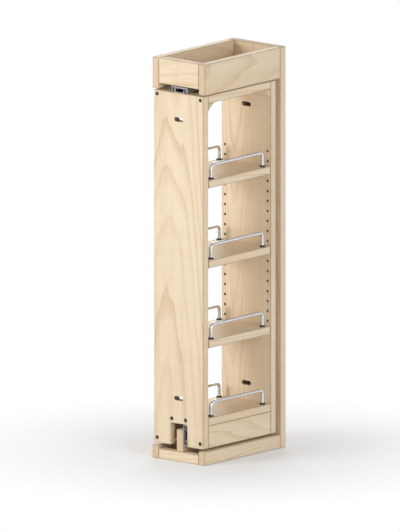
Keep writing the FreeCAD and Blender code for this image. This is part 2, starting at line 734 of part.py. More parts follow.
def corner_block(name, face, reach):
    """A triangular block across the carriage, under the top rail and against a panel."""
    body = new_body(name)
    sketch = sketch_on(body, "YZ_Plane", f"-{CARRIAGE_HALF}")
    outline(sketch, [(face, TOP_RAIL_BOTTOM), (f"{face} + {reach}", TOP_RAIL_BOTTOM),
                     (face, f"{TOP_RAIL_BOTTOM} - corner_block_height")])
    ease_edges(body, pad(body, sketch, f"2 * {CARRIAGE_HALF}"))
    return body


def build_carriage(screw, slide_holes):
    holes = screws("front_panel_screws", screw, panel_screw_spots(FRONT), "rearward")
    holes += screws("back_panel_screws", screw, panel_screw_spots(CARRIAGE_REAR), "forward")
    node(cut("front_panel", panel_blank("front_blank", BAY_FRONT, -1), holes), "front_panel")
    node(cut("back_panel", panel_blank("back_blank", BAY_REAR, 1), holes), "back_panel")
    top = board("top_rail_blank", (f"-{CARRIAGE_HALF}", BAY_FRONT, TOP_RAIL_BOTTOM),
                (CARRIAGE_HALF, BAY_REAR, CARRIAGE_TOP))
    node(cut("top_rail", top, holes + slide_holes["top_moving"]), "top_rail")
    node(corner_block("front_block", BAY_FRONT, "corner_block_depth"), "corner_block_front")
    node(corner_block("rear_block", BAY_REAR, "-corner_block_depth"), "corner_block_rear")
    for name, low, high in (("left", f"-{CARRIAGE_HALF}", f"-{SKIRT_INNER}"),
                            ("right", SKIRT_INNER, CARRIAGE_HALF)):
        skirt = board("skirt_blank", (low, BAY_FRONT, CARRIAGE_BOTTOM),
                      (high, BAY_REAR, BOTTOM_SHELF_UNDERSIDE))
        node(cut(f"skirt_{name}", skirt, holes), f"skirt_{name}")
    bottom, top = (f"{BOTTOM_SLIDE_LEVEL} {sign} spacer_height / 2" for sign in "-+")
    spacer = board("spacer_blank", (BOTTOM_SLIDE_MOVING_FACE, BAY_FRONT, bottom),
                   (SKIRT_INNER, BAY_REAR, top))
    node(cut("slide_spacer", spacer, slide_holes["bottom_moving"]), "slide_spacer")
    return holes


# Shelves

def wire_rail(name, across, level):
    """A bent rod: two legs let into the shelf, joined by a long top bar."""
    body = new_body(name)
    front, rear = WIRE_FRONT, WIRE_REAR
    foot, top = f"({level} - wire_tenon)", f"({level} + wire_rise)"
    spine = sketch_on(body, "YZ_Plane", across)
    shoulder = f"({top} - wire_bend)"
    corners = [(front, foot), (front, shoulder), (f"{front} + wire_bend", top),
               (f"{rear} - wire_bend", top), (rear, shoulder), (rear, foot)]
    outline(spine, corners, {1: (f"{front} + wire_bend", shoulder, (-1, 1), "DistanceX"),
                             3: (f"{rear} - wire_bend", shoulder, (1, 1), "DistanceX")}, closed=False)
    profile = sketch_on(body, "XY_Plane", foot)
    circle(profile, across, front, "wire_radius")
    DOCUMENT.recompute()
    rod = body.newObject("PartDesign::AdditivePipe", "rod")
    rod.Profile = profile
    rod.Spine = (spine, [f"Edge{index}" for index in range(1, len(corners))])
    return body


def ferrule_master():
    body = new_body("ferrule")
    sketch = sketch_on(body, "XZ_Plane")
    bore = "(wire_radius + wire_fit)"
    outline(sketch, [(bore, "0"), ("ferrule_radius", "0"), ("ferrule_radius", "ferrule_height / 2"),
                     (f"{bore} + ferrule_wall", "ferrule_height"), (bore, "ferrule_height")])
    revolve(body, sketch)
    return body


def pin_master():
    """A shelf pin whose shank points down into the panel and whose peg points up into the bay."""
    body = new_body("shelf_pin")
    sketch = sketch_on(body, "XZ_Plane")
    blunt = "pin_radius - pin_tip_ease"
    outline(sketch, [("0", "-pin_shank"), (blunt, "-pin_shank"),
                     ("pin_radius", "pin_tip_ease - pin_shank"), ("pin_radius", "0"),
                     ("pin_collar_radius", "0"), ("pin_collar_radius", "pin_collar_thick"),
                     ("pin_radius", "pin_collar_thick"), ("pin_radius", "pin_peg - pin_tip_ease"),
                     (blunt, "pin_peg"), ("0", "pin_peg")])
    revolve(body, sketch)
    return body


def wire_spots():
    return [(f"{side}{WIRE_LINE}", along) for side in ("-", "") for along in (WIRE_FRONT, WIRE_REAR)]


def wire_set(prefix, level, ferrule):
    """The two rails of a shelf, their ferrules, and the sockets for their legs."""
    node(wire_rail(f"{prefix}_left", f"-{WIRE_LINE}", level), f"{prefix}_rail_left")
    node(wire_rail(f"{prefix}_right", WIRE_LINE, level), f"{prefix}_rail_right")
    rings = [copy_of(ferrule, (x, y, level)) for x, y in wire_spots()]
    node(gathered(f"{prefix}_rings", rings), f"{prefix}_ferrules")
    depth = "(wire_tenon + wire_socket_gap)"
    return [cylinder("socket", "wire_radius + wire_fit", f"{depth} + wire_socket_gap",
                     (x, y, f"{level} - {depth}")) for x, y in wire_spots()]


def build_bottom_shelf(ferrule, screw_holes):
    sockets = wire_set("bottom_shelf", BOTTOM_SHELF_LEVEL, ferrule)
    blank = board("bottom_shelf_blank", (f"-{CARRIAGE_HALF}", BAY_FRONT, BOTTOM_SHELF_UNDERSIDE),
                  (CARRIAGE_HALF, BAY_REAR, BOTTOM_SHELF_LEVEL))
    node(cut("bottom_shelf", blank, screw_holes + sockets), "bottom_shelf")


def shelf_notches(pin_level, underside):
    """Slots under the shelf's ends that sit over the pins."""
    half = "(pin_radius + shelf_notch_gap)"
    depth = "(pin_peg + shelf_notch_gap)"
    roof = f"{pin_level} + pin_radius + pin_seat_gap"
    notches = []
    for side in ("-", ""):
        column = f"{side}{PIN_COLUMN}"
        for low_y, high_y in ((BAY_FRONT, f"{BAY_FRONT} + {depth}"), (f"{BAY_REAR} - {depth}", BAY_REAR)):
            notches.append(box("notch", (f"{column} - {half}", low_y, f"{underside} - shelf_notch_gap"),
                               (f"{column} + {half}", high_y, roof)))
    return notches


def build_shelf(name, place_in_column, ferrule, pin):
    """An adjustable shelf on its pins, in the first, second or third of its places in the columns."""
    pin_level = f"({LOWEST_PIN_LEVEL} + pin_pitch * rows_per_shelf * {place_in_column})"
    level = f"({pin_level} + pin_radius + pin_seat_gap + shelf_over_pin)"
    underside = f"({level} - shelf_thick)"
    sockets = wire_set(name, level, ferrule)
    blank = board(f"{name}_blank", (f"-{CARRIAGE_HALF}", f"{BAY_FRONT} + shelf_end_gap", underside),
                  (CARRIAGE_HALF, f"{BAY_REAR} - shelf_end_gap", level))
    node(cut(name, blank, sockets + shelf_notches(pin_level, underside)), name)
    pins = []
    for side in ("-", ""):
        column = f"{side}{PIN_COLUMN}"
        pins.append(copy_of(pin, (column, BAY_FRONT, pin_level), HEADINGS["forward"]))
        pins.append(copy_of(pin, (column, BAY_REAR, pin_level), HEADINGS["rearward"]))
    node(gathered(f"{name}_pin_group", pins), f"{name}_pins")


# The whole unit

def build():
    fill_sheet()
    screw = screw_kind("wood_screw", ("screw_head", "screw_shank", "screw_head_depth",
                                      "screw_length", "screw_tip"))
    slide_screw = screw_kind("slide_screw", ("slide_screw_head", "slide_screw_shank", "sheet_thick",
                                             "slide_screw_length", "slide_screw_tip"))
    slide_holes = build_slides(slide_screw)
    build_frame(screw, slide_holes)
    panel_holes = build_carriage(screw, slide_holes)
    ferrule = ferrule_master()
    pin = pin_master()
    build_bottom_shelf(ferrule, panel_holes)
    for place_in_column, name in enumerate(("lower_shelf", "middle_shelf", "upper_shelf")):
        build_shelf(name, place_in_column, ferrule, pin)
    DOCUMENT.recompute()


def check():
    for item in DOCUMENT.Objects:
        if "Invalid" in item.State or "Error" in item.State:
            raise RuntimeError(f"{item.Label} failed: {item.State}")
    for item in NODES:
        shape = Part.getShape(item)
        if shape.isNull() or not shape.isValid() or not shape.Solids:
            raise RuntimeError(f"{item.Label} has no valid solid")


def export():
    os.makedirs("parts", exist_ok=True)
    for item in NODES:
        shape = Part.getShape(item)
        if len(shape.Solids) == 1:
            shape = shape.Solids[0]
        shape.exportStep(f"parts/{item.Label}.step")
        print(f"{item.Label}: {len(shape.Solids)} solid(s), {shape.Volume:.1f} mm3")


build()
check()
export()
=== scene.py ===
import math
from collections import namedtuple

import bpy
from mathutils import Euler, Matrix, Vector


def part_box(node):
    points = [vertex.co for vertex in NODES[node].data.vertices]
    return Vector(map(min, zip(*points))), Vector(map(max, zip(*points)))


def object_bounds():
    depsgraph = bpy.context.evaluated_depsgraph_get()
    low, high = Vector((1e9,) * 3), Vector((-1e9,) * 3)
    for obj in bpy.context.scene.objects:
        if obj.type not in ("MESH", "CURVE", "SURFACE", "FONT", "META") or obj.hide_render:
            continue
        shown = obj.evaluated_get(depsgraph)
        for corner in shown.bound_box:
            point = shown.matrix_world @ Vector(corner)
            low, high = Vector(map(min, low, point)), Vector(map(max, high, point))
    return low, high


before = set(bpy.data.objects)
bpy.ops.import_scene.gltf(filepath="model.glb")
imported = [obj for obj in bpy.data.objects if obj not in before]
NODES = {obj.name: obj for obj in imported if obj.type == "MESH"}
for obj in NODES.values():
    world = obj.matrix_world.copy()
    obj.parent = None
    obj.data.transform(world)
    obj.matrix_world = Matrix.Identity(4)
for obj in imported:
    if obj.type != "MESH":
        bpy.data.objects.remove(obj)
cad_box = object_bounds()

# Camera: the drawing is a parallel projection, seen at this angle and scale, with the unit's middle here
VIEW_AZIMUTH = math.radians(39.8)
VIEW_ELEVATION = math.radians(11.3)
PIXELS_PER_METRE = 447.1
PICTURE_WIDTH = 400
PICTURE_HEIGHT = 532
OBJECT_CENTRE_PIXEL = (219.1, 251.7)
CAMERA_DISTANCE = 4.0
CAMERA_REACH = 100.0

# Light from all round, and the white room with a pale grey ceiling that the camera and metal see
WHITE = (1.0, 1.0, 1.0)
FILL_COLOUR = (0.95, 0.97, 1.0)
FILL_STRENGTH = 0.40
WALL_STRENGTH = 1.0
CEILING_STRENGTH = 0.42
WALL_TOP = 0.15
CEILING_EDGE = 0.80

# Floor: grey enough near the unit to show its shadow, and plain white further out
FLOOR_HALF_WIDTH = 30.0
FLOOR_DROP = 0.0002
FLOOR_COLOUR = (0.86, 0.86, 0.86)
GLOW_STRENGTH = 1.0
GLOW_NEAR = 0.15
GLOW_FAR = 1.0
SHADOW_RADIUS = 0.10
PLAIN_RADIUS = 0.70

# Lamps: place, side of the square, watts and colour, all aimed at the middle of the unit
LAMP_AIM = (0, 0, 0.45)
WARM = (1.0, 0.985, 0.96)
COOL = (0.97, 0.985, 1.0)
LAMPS = {
    "key": ((-1.3, -2.8, 1.5), 1.5, 55, WARM),
    "side": ((3.0, -1.1, 1.2), 1.8, 46, COOL),
    "overhead": ((0.2, 0.3, 3.2), 2.2, 9, WHITE),
    "behind": ((-1.8, 2.6, 1.5), 1.8, 44, WARM),
}


# Short calls that build node trees

MIX_FIRST_COLOUR = 6
MIX_SECOND_COLOUR = 7
MIX_COLOUR_OUT = 2
UNSCALED = 1.0

# A colour and how much of it shows where it is strongest
Tint = namedtuple("Tint", "colour share")


def opaque(colour):
    return (*colour, 1)


def scaled(colour, factor):
    return tuple(factor * part for part in colour)


class NodeTree:
    """The node tree of the world or of a material, with short calls that add nodes to it."""

    def __init__(self, owner):
        owner.use_nodes = True
        self.tree = owner.node_tree

    def node(self, kind, **settings):
        node = self.tree.nodes.new(kind)
        for name, value in settings.items():
            setattr(node, name, value)
        return node

    def feed(self, node, socket, value):
        """Link an output to a socket, or set the socket to a number, vector or colour."""
        if isinstance(value, bpy.types.NodeSocket):
            self.tree.links.new(value, node.inputs[socket])
        else:
            node.inputs[socket].default_value = value

    def maths(self, operation, first, second=0.0):
        node = self.node("ShaderNodeMath", operation=operation)
        self.feed(node, 0, first)
        self.feed(node, 1, second)
        return node.outputs[0]

    def plus(self, first, second):
        return self.maths("ADD", first, second)

    def minus(self, first, second):
        return self.maths("SUBTRACT", first, second)

    def times(self, first, second):
        return self.maths("MULTIPLY", first, second)

    def lesser(self, first, second):
        return self.maths("MINIMUM", first, second)

    def greater(self, first, second):
        return self.maths("MAXIMUM", first, second)

    def coordinates(self, kind):
        return self.node("ShaderNodeTexCoord").outputs[kind]

    def parts(self, vector):
        """The X, Y and Z of a vector."""
        node = self.node("ShaderNodeSeparateXYZ")
        self.feed(node, 0, vector)
        return node.outputs

    def span(self, value, low, high, to_low=0.0, to_high=1.0, shape="LINEAR"):
        """Turn the stretch from low to high into that from to_low to to_high, and hold its ends."""
        node = self.node("ShaderNodeMapRange", clamp=True, interpolation_type=shape)
        self.feed(node, "Value", value)
        self.feed(node, "From Min", low)
        self.feed(node, "From Max", high)
        self.feed(node, "To Min", to_low)
        self.feed(node, "To Max", to_high)
        return node.outputs["Result"]

    def seen_ray(self):
        """1 for a ray from the camera or off something glossy or clear, and 0 for light on things."""
        path = self.node("ShaderNodeLightPath").outputs
        seen = self.greater(path["Is Camera Ray"], path["Is Glossy Ray"])
        return self.greater(seen, path["Is Transmission Ray"])

    def surface(self, out_kind, share, first, second):
        """Give the tree its output: the first shader, with a share of the second mixed in."""
        mix = self.node("ShaderNodeMixShader")
        self.feed(mix, 0, share)
        self.feed(mix, 1, first.outputs[0])
        self.feed(mix, 2, second.outputs[0])
        self.feed(self.node(out_kind), "Surface", mix.outputs[0])


class Shader(NodeTree):
    """A material under construction: a surface shader, and the patterns that feed it."""

    def __init__(self, name, **sockets):
        self.material = bpy.data.materials.new(name)
        super().__init__(self.material)
        self.bsdf = self.tree.nodes["Principled BSDF"]
        for socket, value in sockets.items():
            self.feed(self.bsdf, socket.replace("_", " "), value)

    def place(self):
        return self.coordinates("Object")

    def normal(self):
        return self.coordinates("Normal")

    def mapped(self, vector, location=(0, 0, 0), scale=(1, 1, 1), rotation=(0, 0, 0)):
        node = self.node("ShaderNodeMapping")
        self.feed(node, "Vector", vector)
        self.feed(node, "Location", location)
        self.feed(node, "Rotation", rotation)
        self.feed(node, "Scale", scale)
        return node.outputs[0]

    def noise(self, vector, scale, detail, rough=0.5, distortion=0.0):
        node = self.node("ShaderNodeTexNoise")
        self.feed(node, "Vector", vector)
        self.feed(node, "Scale", scale)
        self.feed(node, "Detail", detail)
        self.feed(node, "Roughness", rough)
        self.feed(node, "Distortion", distortion)
        return node.outputs["Fac"]

    def ramp(self, value, stops):
        """Turn a value into a colour by stops, each a position and its colour."""
        node = self.node("ShaderNodeValToRGB")
        self.feed(node, "Fac", value)
        elements = node.color_ramp.elements
        while len(elements) < len(stops):
            elements.new(0.5)
        for element, (position, colour) in zip(elements, stops):
            element.position = position
            element.color = opaque(colour)
        return node.outputs["Color"]

    def mix(self, share, first, second):
        node = self.node("ShaderNodeMix", data_type="RGBA")
        self.feed(node, "Factor", share)
        for socket, value in ((MIX_FIRST_COLOUR, first), (MIX_SECOND_COLOUR, second)):
            if isinstance(value, tuple):
                value = opaque(value)
            self.feed(node, socket, value)
        return node.outputs[MIX_COLOUR_OUT]

    def laid(self, colour, tint, mask):
        """Lay a tint over a colour, from none of it where the mask is 0 to its full share where it is 1."""
        return self.mix(self.times(mask, tint.share), colour, tint.colour)

    def streaked(self, colour, tint, pattern, low, high):
        """Lay a tint over a colour, from none of it up to low in the pattern to its full share from high."""
        return self.mix(self.span(pattern, low, high, 0.0, tint.share), colour, tint.colour)

    def bump(self, height, distance, strength, below=None):
        node = self.node("ShaderNodeBump")
        self.feed(node, "Height", height)
        self.feed(node, "Distance", distance)
        self.feed(node, "Strength", strength)
        if below is not None:
            self.feed(node, "Normal", below)
        return node.outputs["Normal"]

    def finish(self, colour, roughness, normal):
        self.feed(self.bsdf, "Base Color", colour)
        self.feed(self.bsdf, "Roughness", roughness)
        self.feed(self.bsdf, "Normal", normal)
        return self.material


# Camera, room, floor and lamps

def turn_towards(thing, direction):
    thing.rotation_mode = "QUATERNION"
    thing.rotation_quaternion = direction.to_track_quat("-Z", "Y")


def add_camera():
    low, high = cad_box
    centre = (low + high) / 2
    a, e = VIEW_AZIMUTH, VIEW_ELEVATION
    back = Vector((math.sin(a) * math.cos(e), -math.cos(a) * math.cos(e), math.sin(e)))
    right = Vector((math.cos(a), math.sin(a), 0))
    up = back.cross(right)
    shift_right = (PICTURE_WIDTH / 2 - OBJECT_CENTRE_PIXEL[0]) / PIXELS_PER_METRE
    shift_up = (OBJECT_CENTRE_PIXEL[1] - PICTURE_HEIGHT / 2) / PIXELS_PER_METRE
    target = centre + right * shift_right + up * shift_up
    data = bpy.data.cameras.new("camera")
    data.type = "ORTHO"
    data.ortho_scale = PICTURE_HEIGHT / PIXELS_PER_METRE
    data.clip_end = CAMERA_REACH
    camera = bpy.data.objects.new("camera", data)
    bpy.context.scene.collection.objects.link(camera)
    camera.location = target + back * CAMERA_DISTANCE
    turn_towards(camera, -back)
    bpy.context.scene.camera = camera


def add_room():
    """Even light from all round, and the white walls and pale grey ceiling that the camera and metal see."""
    world = bpy.data.worlds.new("studio")
    bpy.context.scene.world = world
    tree = NodeTree(world)
    tree.tree.nodes.clear()
    fill = tree.node("ShaderNodeBackground")
    tree.feed(fill, "Color", opaque(FILL_COLOUR))
    tree.feed(fill, "Strength", FILL_STRENGTH)
    upward = tree.parts(tree.coordinates("Generated"))["Z"]
    strength = tree.span(upward, WALL_TOP, CEILING_EDGE, WALL_STRENGTH, CEILING_STRENGTH, "SMOOTHSTEP")
    room = tree.node("ShaderNodeBackground")
    tree.feed(room, "Color", opaque(WHITE))
    tree.feed(room, "Strength", strength)
    tree.surface("ShaderNodeOutputWorld", tree.seen_ray(), fill, room)


def add_floor():
    """A wide floor that takes the unit's shadow and turns plain white further away."""
    half = FLOOR_HALF_WIDTH
    corners = [(-half, -half, 0), (half, -half, 0), (half, half, 0), (-half, half, 0)]
    mesh = bpy.data.meshes.new("floor")
    mesh.from_pydata(corners, [], [(0, 1, 2, 3)])
    floor = bpy.data.objects.new("floor", mesh)
    floor.location.z = -FLOOR_DROP
    bpy.context.scene.collection.objects.link(floor)
    material = bpy.data.materials.new("floor_white")
    tree = NodeTree(material)
    tree.tree.nodes.clear()
    matt = tree.node("ShaderNodeBsdfDiffuse")
    tree.feed(matt, "Color", opaque(FLOOR_COLOUR))
    glow = tree.node("ShaderNodeEmission")
    tree.feed(glow, "Color", opaque(WHITE))
    tree.feed(glow, "Strength", GLOW_STRENGTH)
    away = tree.node("ShaderNodeVectorMath", operation="LENGTH")
    tree.feed(away, 0, tree.coordinates("Object"))
    share = tree.span(away.outputs["Value"], SHADOW_RADIUS, PLAIN_RADIUS, GLOW_NEAR, GLOW_FAR, "SMOOTHSTEP")
    tree.surface("ShaderNodeOutputMaterial", tree.times(tree.seen_ray(), share), matt, glow)
    mesh.materials.append(material)


def add_lamps():
    for name, (place, side, watts, colour) in LAMPS.items():
        data = bpy.data.lights.new(name, "AREA")
        data.shape = "SQUARE"
        data.size = side
        data.energy = watts
        data.color = colour
        lamp = bpy.data.objects.new(name, data)
        lamp.location = place
        turn_towards(lamp, Vector(LAMP_AIM) - Vector(place))
        bpy.context.scene.collection.objects.link(lamp)


# Maple, with lengths in metres

# The turn that brings each direction of the grain to the log's own X
GRAIN_ALONG = {"X": Euler((0, 0, 0)), "Y": Euler((0, 0, -math.pi / 2)), "Z": Euler((0, math.pi / 2, 0))}

# Where the log's heart lies from a board: five places across it and four depths, taken in turn
LOG_STEP = 0.53
SIDE_PLACES = 5
SIDE_STRIDE = 7
SIDE_STEP = 0.018
DEPTH_PLACES = 4
LEAST_DEPTH = 0.075
DEPTH_STEP = 0.016

# The growth rings, and how far they wander from round
RING_SPACING = 0.0034
LOG_TAPER = 0.022
SLOW_WANDER = 0.016
QUICK_WANDER = 0.0012

# How fast each pattern changes along and across the grain, then its detail, roughness and distortion
PATTERNS = {
    "slow_wander": ((1.6, 9, 9), 2.0, 0.4, 0.0),
    "quick_wander": ((9, 70, 70), 2.0, 0.5, 0.0),
    "cloud": ((2.0, 10, 10), 3.0, 0.5, 0.3),
    "streak": ((2.2, 130, 130), 3.0, 0.55, 0.0),
    "fibre": ((11, 800, 800), 4.0, 0.6, 0.0),
    "fleck": ((110, 2200, 2200), 1.0, 0.4, 0.0),
    "curl": ((55, 7, 7), 2.0, 0.5, 0.5),
    "pores": ((600, 2000, 2000), 2.0, 0.5, 0.0),
}

# The wood's colours, deep to pale, and what is laid over them
DEEP_WOOD = (0.715, 0.560, 0.380)
MIDDLE_WOOD = (0.790, 0.652, 0.472)
PALE_WOOD = (0.840, 0.718, 0.548)
WOOD_STOPS = (0.22, 0.50, 0.78)
STREAK = Tint((0.67, 0.50, 0.325), 0.32)
LATE_RING_COLOUR = (0.585, 0.410, 0.250)
FAINTEST_RING = 0.24
STRONGEST_RING = 0.64
FIBRE = Tint((0.57, 0.395, 0.24), 0.22)
FLECK = Tint((0.41, 0.265, 0.15), 0.32)
CURL = Tint((0.91, 0.80, 0.64), 0.10)

END_GRAIN_SHARE = 0.50
END_GRAIN_COLOUR = (0.60, 0.44, 0.285)
PORES = Tint((0.38, 0.25, 0.14), 0.5)

# Each mark along an edge is full up to the first distance from it, and gone beyond the second
# The thin line along every edge is painted shade, standing in for the shadow in the grooves between eased
# edges
EDGE_SHADE_LINE = Tint((0.36, 0.24, 0.14), 0.72)
LINE_REACH = (0.0007, 0.0019)
HANDLED_SOFT_COLOUR = (0.47, 0.335, 0.205)
SOFT_REACH = (0.0008, 0.0070)
FAINTEST_SOFT = 0.05
STRONGEST_SOFT = 0.26
RUBBED = Tint((0.86, 0.74, 0.57), 0.45)
RUBBED_REACH = (0.0002, 0.0013)
PATCH_SCALE = 46.0

# The notch at a panel's foot lies below this height, and its walls get no painted shade
HOLLOWS_ABOVE = 0.100
HOLLOWS_FADE = 0.004
HOLLOW_DEPTHS = (0.0003, 0.0022)
# Painted shade on the walls of holes and slots
HOLLOW_SHADE_TINT = Tint((0.115, 0.075, 0.045), 0.72)

WOOD_IOR = 1.3
WOOD_SPECULAR = 0.4
WOOD_ROUGHNESS = (0.50, 0.62)
END_GRAIN_ROUGHNESS = 0.16
LINE_ROUGHNESS = 0.10
FIBRE_RELIEF = 0.6
FLECK_RELIEF = 0.7
GROOVE_DEPTH = 0.00008
GROOVE_STRENGTH = 0.55
RIPPLE_SCALE = 210.0
RIPPLE_DEPTH = 0.00006
RIPPLE_STRENGTH = 0.35


def log_place(shader, grain, low, high, number):
    """The board's own place in its log: X runs along the grain, and the heart lies off its wide face."""
    turn = GRAIN_ALONG[grain]
    sides = (turn.to_matrix() @ (high - low)).to_tuple()
    wide, deep = (1, 2) if abs(sides[1]) > abs(sides[2]) else (2, 1)
    heart = [LOG_STEP * number, 0.0, 0.0]
    heart[wide] = SIDE_STEP * ((number * SIDE_STRIDE) % SIDE_PLACES - SIDE_PLACES // 2)
    heart[deep] = (LEAST_DEPTH + DEPTH_STEP * (number % DEPTH_PLACES)) * (1 if number % 2 else -1)
    centre = turn.to_matrix() @ ((low + high) / 2)
    moved = [shift - spot for shift, spot in zip(heart, centre)]
    return shader.mapped(shader.place(), location=moved, rotation=turn)


def figure(shader, board, name):
    stretch, detail, rough, distortion = PATTERNS[name]
    return shader.noise(shader.mapped(board, scale=stretch), UNSCALED, detail, rough, distortion)


def growth_rings(shader, board):
    """How far through its year the wood is, and which year it is, with the rings wandering along the log."""
    spot = shader.parts(board)
    across = shader.plus(spot["Y"], shader.times(spot["X"], LOG_TAPER))
    square = shader.plus(shader.times(across, across), shader.times(spot["Z"], spot["Z"]))
    radius = shader.maths("SQRT", square)
    radius = shader.plus(radius, shader.times(figure(shader, board, "slow_wander"), SLOW_WANDER))
    radius = shader.plus(radius, shader.times(figure(shader, board, "quick_wander"), QUICK_WANDER))
    years = shader.maths("DIVIDE", radius, RING_SPACING)
    return shader.maths("FRACT", years), shader.maths("FLOOR", years)


def face_gaps(shader, low, high):
    """How deep a point lies under the board's nearest face, and how far it lies from the nearest edge."""
    spot = shader.parts(shader.place())
    gaps = []
    for axis in range(3):
        near = shader.minus(spot[axis], low[axis])
        far = shader.minus(high[axis], spot[axis])
        gaps.append(shader.lesser(near, far))
    first, second, third = gaps
    smaller = shader.lesser(first, second)
    larger = shader.greater(first, second)
    depth = shader.lesser(smaller, third)
    from_edge = shader.lesser(larger, shader.greater(smaller, third))
    return depth, from_edge


def wood_colour(shader, board, tone):
    """The wood's own colour, and the fibres and flecks that its surface has too."""
    year, which = growth_rings(shader, board)
    late = shader.times(shader.span(year, low=0.55, high=0.95), shader.span(year, low=1.0, high=0.96))
    yearly = shader.node("ShaderNodeTexWhiteNoise", noise_dimensions="1D")
    shader.feed(yearly, "W", which)
    fibre = figure(shader, board, "fibre")
    fleck = shader.span(figure(shader, board, "fleck"), low=0.66, high=0.76)
    shades = [scaled(shade, tone) for shade in (DEEP_WOOD, MIDDLE_WOOD, PALE_WOOD)]
    colour = shader.ramp(figure(shader, board, "cloud"), list(zip(WOOD_STOPS, shades)))
    colour = shader.streaked(colour, STREAK, figure(shader, board, "streak"), low=0.42, high=0.75)
    strength = shader.span(yearly.outputs["Value"], 0.0, 1.0, FAINTEST_RING, STRONGEST_RING)
    colour = shader.mix(shader.times(late, strength), colour, LATE_RING_COLOUR)
    colour = shader.streaked(colour, FIBRE, fibre, low=0.40, high=0.75)
    colour = shader.laid(colour, FLECK, fleck)
    colour = shader.streaked(colour, CURL, figure(shader, board, "curl"), low=0.35, high=0.70)
    return colour, fibre, fleck


def end_grain(shader, board, grain, colour):
    """End grain drinks the lacquer, so it is darker, and its pores show."""
    facing = shader.parts(shader.normal())[grain]
    end = shader.span(shader.maths("ABSOLUTE", facing), low=0.55, high=0.9)
    pores = figure(shader, board, "pores")
    end_colour = shader.streaked(END_GRAIN_COLOUR, PORES, pores, low=0.45, high=0.7)
    return shader.mix(shader.times(end, END_GRAIN_SHARE), colour, end_colour), end


def handled_and_shaded_edges(shader, from_edge, colour):
    """Every edge has a thin dark line of painted shade, like the shadow in the grooves where eased edges
    meet, inside a softer band of grime, rubbed back to pale wood here and there.
    """
    patches = shader.noise(shader.place(), PATCH_SCALE, detail=4.0, rough=0.6)
    # painted shade: a thin dark line along every edge, the same everywhere
    edge_shade = shader.span(from_edge, *LINE_REACH, 1.0, 0.0)
    colour = shader.laid(colour, EDGE_SHADE_LINE, edge_shade)
    soft = shader.span(from_edge, *SOFT_REACH, 1.0, 0.0)
    strength = shader.span(patches, 0.58, 0.36, FAINTEST_SOFT, STRONGEST_SOFT)
    colour = shader.mix(shader.times(soft, strength), colour, HANDLED_SOFT_COLOUR)
    rubbed = shader.times(shader.span(from_edge, *RUBBED_REACH, 1.0, 0.0),
                          shader.span(patches, low=0.60, high=0.70))
    return shader.laid(colour, RUBBED, rubbed), edge_shade


def paint_hollow_shade(shader, depth, colour):
    """The walls of holes and slots are bare wood and take painted shade, which starts just inside the panel's
    faces.
    """
    height = shader.parts(shader.place())["Z"]
    above = shader.span(height, HOLLOWS_ABOVE, HOLLOWS_ABOVE + HOLLOWS_FADE)
    # painted shade inside holes and slots, but not in the notch
    return shader.laid(colour, HOLLOW_SHADE_TINT, shader.times(shader.span(depth, *HOLLOW_DEPTHS), above))


def maple(name, grain, box, number, tone, shade_hollows):
    """Maple under a thin satin lacquer: its figure, its end grain, its handled edges with a line of painted
    shade along each, and painted shade in the holes of some panels.
    """
    low, high = box
    shader = Shader(name, IOR=WOOD_IOR, Specular_IOR_Level=WOOD_SPECULAR)
    board = log_place(shader, grain, low, high, number)
    depth, from_edge = face_gaps(shader, low, high)
    colour, fibre, fleck = wood_colour(shader, board, tone)
    colour, end = end_grain(shader, board, grain, colour)
    colour, edge_shade = handled_and_shaded_edges(shader, from_edge, colour)
    # painted shade in the holes and slots of the chosen panels
    if shade_hollows:
        colour = paint_hollow_shade(shader, depth, colour)
    roughness = shader.plus(shader.span(fibre, 0.3, 0.8, *WOOD_ROUGHNESS),
                            shader.times(end, END_GRAIN_ROUGHNESS))
    # the line of painted shade along the edges is also a little rougher
    roughness = shader.plus(roughness, shader.times(edge_shade, LINE_ROUGHNESS))
    grooves = shader.minus(shader.times(fibre, FIBRE_RELIEF), shader.times(fleck, FLECK_RELIEF))
    relief = shader.bump(grooves, GROOVE_DEPTH, GROOVE_STRENGTH)
    ripple = shader.noise(shader.place(), RIPPLE_SCALE, detail=2.0)
    relief = shader.bump(ripple, RIPPLE_DEPTH, RIPPLE_STRENGTH, below=relief)
    return shader.finish(colour, roughness, relief)


# Metals and plastics

# How fast streaks and scratches change along X, Y and Z: slides and the long runs of wires lie along Y
ALONG_SLIDE = (900, 12, 900)
ALONG_WIRE = (1400, 90, 1400)
FINE = (500, 500, 500)
FINEST = (700, 700, 700)

ZINC = (0.70, 0.715, 0.73)
CAGE_STEEL = (0.56, 0.57, 0.58)
BALL_STEEL = (0.78, 0.79, 0.80)
NICKEL = (0.70, 0.68, 0.64)
STREAK_DARKNESS = 0.80
SMUDGE_ROUGHNESS = 0.06
TORN_STEEL = (0.40, 0.40, 0.40)
TORN_STEEL_DARK = (0.25, 0.25, 0.255)
TORN_SHARE = 0.85
TORN_ROUGHNESS = 0.22

CHROME = (0.72, 0.73, 0.75)
CHROME_HAZE = (0.62, 0.63, 0.66)
CHROME_ROUGHNESS = (0.17, 0.25)
SCRATCH_ROUGHNESS = 0.06

FERRULE_BLACK = (0.028, 0.028, 0.030)
LEVER_BLACK = (0.034, 0.034, 0.037)
MOULDED_SPECULAR = 0.4
MOULDED_PALER = 1.55
MOULDED_ROUGHNESS = (0.42, 0.56)

OXIDE_BLACK = (0.075, 0.074, 0.075)
WORN_OXIDE = Tint((0.30, 0.29, 0.28), 0.7)
OXIDE_ROUGHNESS = (0.46, 0.30)


